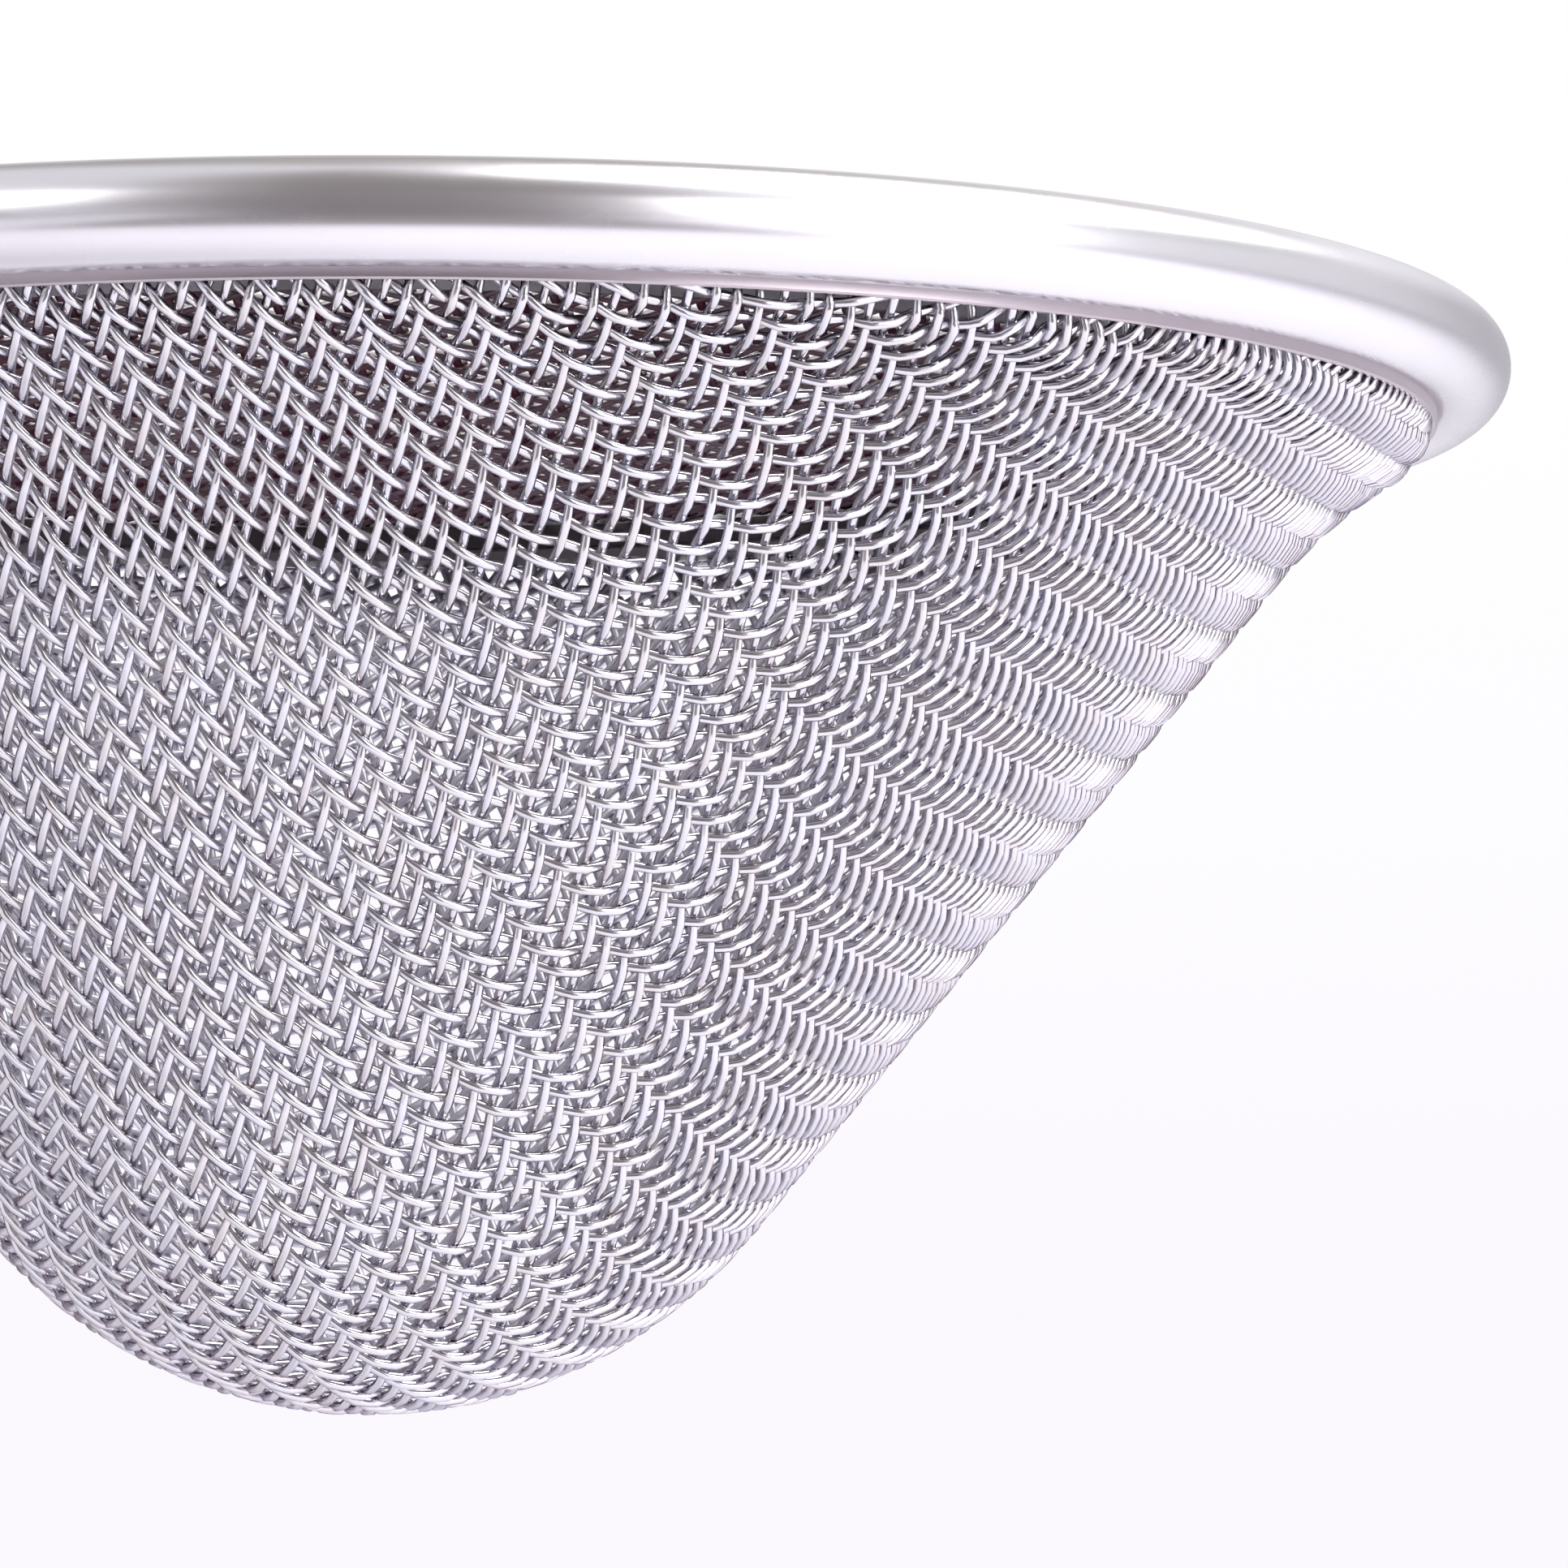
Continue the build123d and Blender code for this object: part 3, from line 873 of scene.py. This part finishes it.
@dataclass
class CoarseCloth:
    """Plain-woven wire cloth of the upper sieve, sagging as a shallow dish."""

    wire_radius: float = 0.30 * MM
    spacing: float = 2.1 * MM
    thickness: float = 1.2 * MM
    sag: float = 3.7 * MM
    margin: float = 0.6 * MM
    heading: float = math.radians(20)
    samples: int = 2
    sides: int = 1

    def __post_init__(self) -> None:
        """Take the dish's size from the frame."""
        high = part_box("coarse_mesh")[1]
        self.radius = high.x
        self.edge_z = high.z - self.thickness / 2
        self.ball = (self.radius**2 + self.sag**2) / (2 * self.sag)

    def point(self, u: float, v: float, lift: float) -> tuple[float, float, float]:
        """Place on the dish of a point of the flat cloth, lifted along the axis."""
        x = u * math.cos(self.heading) - v * math.sin(self.heading)
        y = u * math.sin(self.heading) + v * math.cos(self.heading)
        depth = self.sag - (self.ball - math.sqrt(self.ball**2 - u * u - v * v))
        return x, y, self.edge_z - depth + lift

    def build(self, dresser: Dresser) -> None:
        """Weave the cloth and dress it.

        Args:
            dresser: puts the finish on it.
        """
        reach = (self.radius - self.margin) / self.spacing
        curve = wire_curve("coarse_cloth", self.sides)
        for family in Family:
            for index in range(-int(reach), int(reach) + 1):
                half = math.sqrt(reach**2 - index**2)
                steps = int(half * self.samples)
                points = []
                for step in range(-steps, steps + 1):
                    along = step / self.samples
                    sign = 1 if family is Family.WARP else -1
                    wave = math.cos(math.tau * (along - index) / Weave.PLAIN.value) * sign
                    lift = self.wire_radius * wave
                    u, v = (index, along) if family is Family.WARP else (along, index)
                    points.append(self.point(u * self.spacing, v * self.spacing, lift))
                if len(points) >= SHORTEST_WIRE:
                    add_wire(curve, points, self.wire_radius)
        piece = place("coarse_cloth", curve, "upper_sieve", ("coarse_mesh",))
        dresser.dress(piece, COARSE_WIRE)


@dataclass
class UpperRim:
    """Skirt of the upper sieve with its top edge curled inwards."""

    bead_diameter: float = 2.8 * MM
    strip: float = 0.4 * MM
    curl_end: float = 285.0
    outside_steps: int = 32
    inside_steps: int = 24
    steps: int = 240
    quick_steps: int = 96

    def __post_init__(self) -> None:
        """Take the curl's place from the frame."""
        low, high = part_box("upper_rim")
        self.radius = high.x
        self.foot_z = low.z
        self.bead = self.bead_diameter / 2
        self.centre = (self.radius - self.bead, high.z - self.bead)

    def build(self, dresser: Dresser) -> None:
        """Turn the skirt with its curl.

        Args:
            dresser: puts the finish on it.
        """
        core = self.bead - self.strip
        section = arc(self.centre, self.bead, 0, self.curl_end, self.outside_steps)
        section += arc(self.centre, core, self.curl_end, 0, self.inside_steps)
        section += [(self.radius - self.strip, self.foot_z), (self.radius, self.foot_z)]
        mesh = turned(section, "curled_skirt", self.steps)
        piece = place("curled_skirt", mesh, "upper_sieve", ("upper_rim",))
        dresser.dress(piece, POLISHED)


# ---------------------------------------------------------------- studio


def matt(name: str, tint: tuple[float, float, float], roughness: float) -> bpy.types.Material:
    """Make a plain matt material for the studio."""
    material = bpy.data.materials.new(name)
    material.use_nodes = True
    shader = material.node_tree.nodes["Principled BSDF"]
    shader.inputs["Base Color"].default_value = (*tint, 1)
    shader.inputs["Roughness"].default_value = roughness
    return material


@dataclass(frozen=True)
class Zone:
    """A darker part of the surround.

    Angles are in degrees. The half height is taken along the upright axis of a unit sphere.
    The core is the share of the half sizes over which the zone has its full depth.
    """

    azimuth: float
    half_width: float
    elevation: float
    half_height: float
    tint: tuple[float, float, float]
    depth: float = 1.0
    core: float = 0.35


@dataclass(frozen=True)
class Lamp:
    """A soft square lamp that faces the sieve; in metres, degrees and watts."""

    name: str
    azimuth: float
    elevation: float
    distance: float
    side: float
    power: float


@dataclass
class Studio:
    """Pale floor, soft light and the camera."""

    level: float = 0.95
    surround_tint: tuple[float, float, float] = (0.97, 0.96, 1.0)
    wall_low: tuple[float, float, float] = (0.965, 0.94, 0.99)
    wall_high: tuple[float, float, float] = (1.0, 1.0, 1.0)
    zones: tuple[Zone, ...] = (
        Zone(214, 42, 50, 1.0, (0.26, 0.235, 0.22), core=0.5),
        Zone(300, 42, 48, 0.40, (0.30, 0.32, 0.28), 0.9),
        Zone(29, 75, 6, 0.35, (0.42, 0.40, 0.44), 0.8),
        Zone(22, 42, 64, 0.50, (0.42, 0.39, 0.36), 0.95),
    )
    lamps: tuple[Lamp, ...] = (
        Lamp("overhead", 300, 60, 1.0, 0.7, 12.0),
        Lamp("front_right", 256, 15, 0.9, 0.5, 3.5),
        Lamp("front_left", 165, 30, 1.0, 0.4, 2.0),
    )
    wall_rise: tuple[float, float] = (0.04, 0.14)
    floor_z: float = -100.0 * MM
    floor_half: float = 3.0
    floor_tint: tuple[float, float, float] = (0.80, 0.785, 0.83)
    floor_roughness: float = 0.8
    card_tint: tuple[float, float, float] = (0.17, 0.155, 0.155)
    card_roughness: float = 0.9
    card_azimuth: float = 213.0
    card_distance: float = 620.0 * MM
    card_foot: float = 270.0 * MM
    card_width: float = 460.0 * MM
    card_top: float = 420.0 * MM
    camera_azimuth: float = math.radians(209)
    camera_distance: float = 565.5 * MM
    camera_z: float = -14.1 * MM
    yaw: float = math.radians(2.75)
    pitch: float = math.radians(5.56)
    roll: float = math.radians(-0.38)
    lens: float = 198.5
    sensor: float = 36.0
    clip_start: float = 10.0 * MM

    def floor(self) -> None:
        """Lay the floor."""
        shape = bmesh.new()
        bmesh.ops.create_grid(shape, x_segments=1, y_segments=1, size=self.floor_half)
        mesh = bpy.data.meshes.new("floor")
        shape.to_mesh(mesh)
        shape.free()
        mesh.transform(Matrix.Translation((0, 0, self.floor_z)))
        floor = bpy.data.objects.new("floor", mesh)
        bpy.context.scene.collection.objects.link(floor)
        mesh.materials.append(matt("pale floor", self.floor_tint, self.floor_roughness))

    def zone(self, tree: bpy.types.NodeTree, zone: Zone) -> bpy.types.NodeSocket:
        """Add the nodes that mark one direction of the surround.

        Args:
            tree: the world's node tree.
            zone: where the direction lies and how wide it is.

        Returns:
            A mask that is the zone's depth in its middle and zero outside.
        """
        link = tree.links.new
        way = add_node(tree, "ShaderNodeTexCoord")
        turn = add_node(tree, "ShaderNodeVectorRotate", rotation_type="Z_AXIS")
        turn.inputs["Angle"].default_value = -math.radians(zone.azimuth)
        parts = add_node(tree, "ShaderNodeSeparateXYZ")
        angle = add_node(tree, "ShaderNodeMath", operation="ARCTAN2")
        aside = add_node(tree, "ShaderNodeMath", operation="ABSOLUTE")
        near = add_node(tree, "ShaderNodeMapRange",
                        {"From Min": math.radians(zone.half_width * zone.core),
                         "From Max": math.radians(zone.half_width),
                         "To Min": 1.0, "To Max": 0.0}, interpolation_type="SMOOTHERSTEP")
        above = add_node(tree, "ShaderNodeMath", operation="SUBTRACT")
        above.inputs[1].default_value = math.sin(math.radians(zone.elevation))
        off = add_node(tree, "ShaderNodeMath", operation="ABSOLUTE")
        level = add_node(tree, "ShaderNodeMapRange",
                         {"From Min": zone.half_height * zone.core, "From Max": zone.half_height,
                          "To Min": 1.0, "To Max": 0.0}, interpolation_type="SMOOTHERSTEP")
        both = add_node(tree, "ShaderNodeMath", operation="MULTIPLY")
        deep = add_node(tree, "ShaderNodeMath", operation="MULTIPLY")
        deep.inputs[1].default_value = zone.depth
        link(way.outputs["Generated"], turn.inputs["Vector"])
        link(turn.outputs["Vector"], parts.inputs["Vector"])
        link(parts.outputs["Y"], angle.inputs[0])
        link(parts.outputs["X"], angle.inputs[1])
        link(angle.outputs[0], aside.inputs[0])
        link(aside.outputs[0], near.inputs["Value"])
        link(parts.outputs["Z"], above.inputs[0])
        link(above.outputs[0], off.inputs[0])
        link(off.outputs[0], level.inputs["Value"])
        link(near.outputs["Result"], both.inputs[0])
        link(level.outputs["Result"], both.inputs[1])
        link(both.outputs[0], deep.inputs[0])
        return deep.outputs[0]

    def world(self) -> None:
        """Light everything with a soft pale surround that has dark zones to reflect."""
        world = bpy.data.worlds.new("studio")
        bpy.context.scene.world = world
        world.use_nodes = True
        tree = world.node_tree
        link = tree.links.new
        back = tree.nodes["Background"]
        surround = None
        for zone in self.zones:
            shade = add_node(tree, "ShaderNodeMix", data_type="RGBA")
            shade.inputs["B"].default_value = (*zone.tint, 1)
            if surround is None:
                shade.inputs["A"].default_value = (*(self.level * part for part in self.surround_tint), 1)
            else:
                link(surround, shade.inputs["A"])
            link(self.zone(tree, zone), shade.inputs["Factor"])
            surround = shade.outputs["Result"]
        path = add_node(tree, "ShaderNodeLightPath")
        way = add_node(tree, "ShaderNodeTexCoord")
        height = add_node(tree, "ShaderNodeSeparateXYZ")
        low, high = self.wall_rise
        rise = add_node(tree, "ShaderNodeMapRange", {"From Min": low, "From Max": high})
        wall = add_node(tree, "ShaderNodeMix", data_type="RGBA")
        wall.inputs["A"].default_value = (*self.wall_low, 1)
        wall.inputs["B"].default_value = (*self.wall_high, 1)
        seen = add_node(tree, "ShaderNodeMix", data_type="RGBA")
        link(way.outputs["Generated"], height.inputs["Vector"])
        link(height.outputs["Z"], rise.inputs["Value"])
        link(rise.outputs["Result"], wall.inputs["Factor"])
        link(wall.outputs["Result"], seen.inputs["B"])
        link(path.outputs["Is Camera Ray"], seen.inputs["Factor"])
        link(surround, seen.inputs["A"])
        link(seen.outputs["Result"], back.inputs["Color"])
        back.inputs["Strength"].default_value = 1.0

    def card(self) -> None:
        """Stand a dark card behind the camera, its foot forward on the floor, for reflections only."""
        shape = bmesh.new()
        low, high = self.floor_z, self.card_top
        half = self.card_width / 2
        rows = [[shape.verts.new((reach, side, level)) for side in (-half, half)]
                for reach, level in ((self.card_foot, low + MM), (self.card_distance, low + MM),
                                     (self.card_distance, high))]
        for near, far in zip(rows, rows[1:]):
            shape.faces.new((near[0], near[1], far[1], far[0]))
        mesh = bpy.data.meshes.new("dark_card")
        shape.to_mesh(mesh)
        shape.free()
        mesh.transform(Matrix.Rotation(math.radians(self.card_azimuth), 4, "Z"))
        card = bpy.data.objects.new("dark_card", mesh)
        bpy.context.scene.collection.objects.link(card)
        mesh.materials.append(matt("dark card", self.card_tint, self.card_roughness))
        card.visible_camera = False
        card.visible_diffuse = False
        card.visible_shadow = False

    def hang(self, lamp: Lamp) -> None:
        """Hang a lamp round the sieve.

        Args:
            lamp: where it hangs and how strong it is.
        """
        light = bpy.data.lights.new(lamp.name, "AREA")
        light.size = lamp.side
        light.energy = lamp.power
        holder = bpy.data.objects.new(lamp.name, light)
        bpy.context.scene.collection.objects.link(holder)
        a, e = math.radians(lamp.azimuth), math.radians(lamp.elevation)
        spot = Vector((math.cos(a) * math.cos(e), math.sin(a) * math.cos(e), math.sin(e))) * lamp.distance
        holder.location = spot
        holder.rotation_euler = spot.to_track_quat("Z", "Y").to_euler()
        holder.visible_camera = False

    def camera(self) -> None:
        """Stand the camera just below the tip, looking slightly up."""
        data = bpy.data.cameras.new("camera")
        data.lens = self.lens
        data.sensor_width = self.sensor
        data.clip_start = self.clip_start
        camera = bpy.data.objects.new("camera", data)
        bpy.context.scene.collection.objects.link(camera)
        a = self.camera_azimuth
        away = Vector((-math.cos(a), -math.sin(a), 0))
        right = away.cross(Vector((0, 0, 1)))
        ahead = away * math.cos(self.yaw) + right * math.sin(self.yaw)
        right = right * math.cos(self.yaw) - away * math.sin(self.yaw)
        up = Vector((0, 0, 1))
        look = ahead * math.cos(self.pitch) + up * math.sin(self.pitch)
        rise = up * math.cos(self.pitch) - ahead * math.sin(self.pitch)
        side = right * math.cos(self.roll) + rise * math.sin(self.roll)
        rise = rise * math.cos(self.roll) - right * math.sin(self.roll)
        turn = Matrix((side, rise, -look)).transposed()
        camera.matrix_world = Matrix.Translation(
            (self.camera_distance * math.cos(a), self.camera_distance * math.sin(a), self.camera_z)
        ) @ turn.to_4x4()
        bpy.context.scene.camera = camera

    def build(self) -> None:
        """Set the whole studio up."""
        bpy.context.scene.view_settings.view_transform = "Standard"
        self.floor()
        self.world()
        self.card()
        for lamp in self.lamps:
            self.hang(lamp)
        self.camera()


def dress_fittings(dresser: Dresser) -> None:
    """Dress the nodes that keep the frame's own shape.

    Args:
        dresser: puts the finishes on them.
    """
    for side in ("left", "right"):
        for name in ("saddle", "front_sleeve", "rear_sleeve", "rest_strap", "arm_stops"):
            dresser.dress_node(f"{side}_{name}", FITTING)
        for name in ("arm", "lift_loop"):
            dresser.dress_node(f"{side}_{name}", BRIGHT)
        dresser.dress_node(f"{side}_arm_grip", GRIP)
    for name in ("lower_rim_wire", "upper_rim_wire", "upper_clamp_ring"):
        dresser.dress_node(name, SATIN)


def main() -> None:
    """Build the strainer piece by piece, then the studio."""
    logging.basicConfig(level=logging.INFO, format="%(message)s")
    dresser = Dresser()
    LowerRim().build(dresser)
    FineCloth().build(dresser)
    UpperRim().build(dresser)
    CoarseCloth().build(dresser)
    dress_fittings(dresser)
    Studio().build()


if __name__ == "__main__":
    main()
